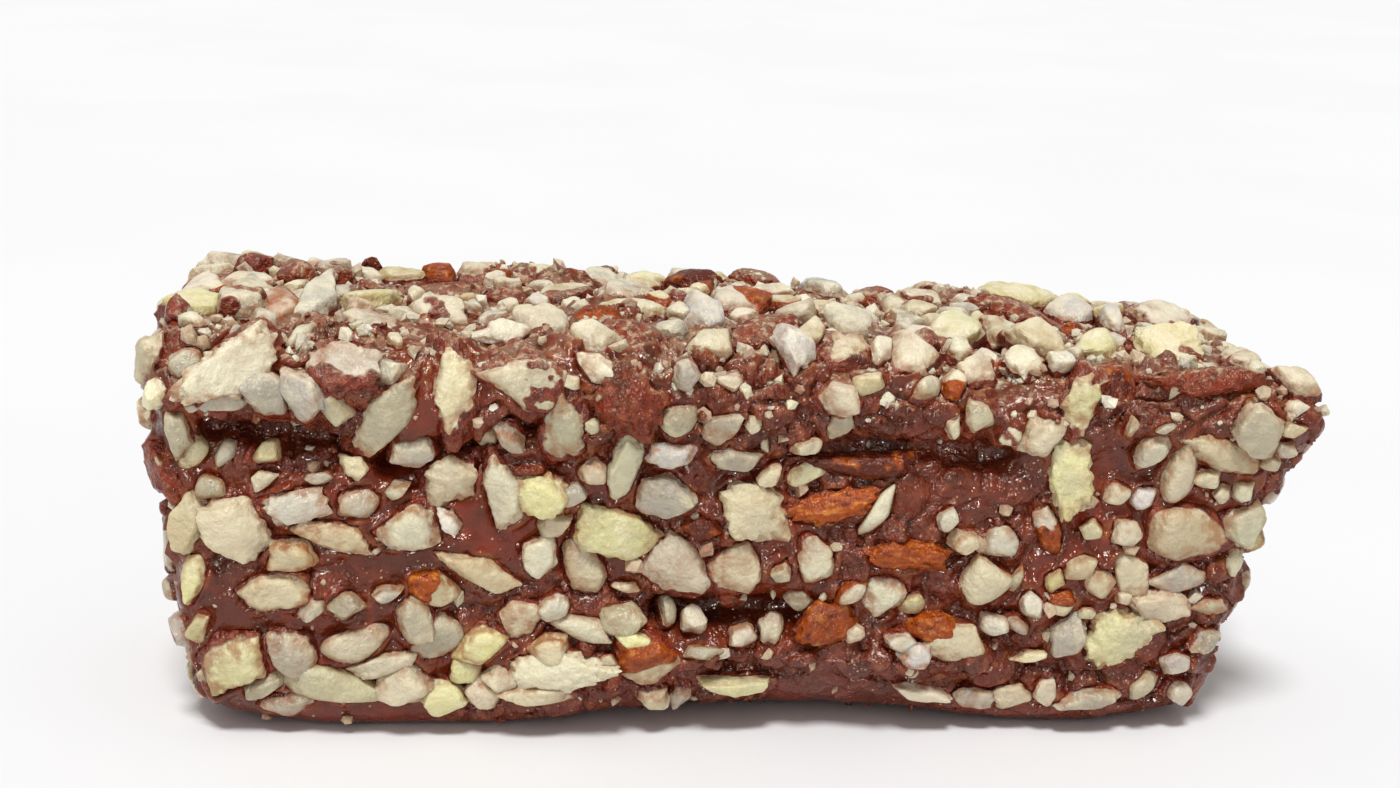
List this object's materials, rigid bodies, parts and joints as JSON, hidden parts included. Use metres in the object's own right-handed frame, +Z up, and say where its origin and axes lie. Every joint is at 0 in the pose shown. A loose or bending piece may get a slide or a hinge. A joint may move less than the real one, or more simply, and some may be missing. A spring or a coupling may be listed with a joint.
{
  "type": "almond toffee",
  "caption": "Short bar of toffee in a milk chocolate coat, covered all over with chopped almonds.",
  "frame": {"origin": "middle of the flat underside, on the surface that the sweet rests on", "axes": "+X along the bar, -Y the face shown in front, +Z up"},
  "size_m": [0.0464, 0.0163, 0.0177],
  "materials": {
    "almonds_in_chocolate": "reddish brown milk chocolate, satin to crumbly, about half covered by cream chopped almonds"
  },
  "bodies": {
    "root": {"almond_toffee": "almonds_in_chocolate"}
  },
  "joints": []
}
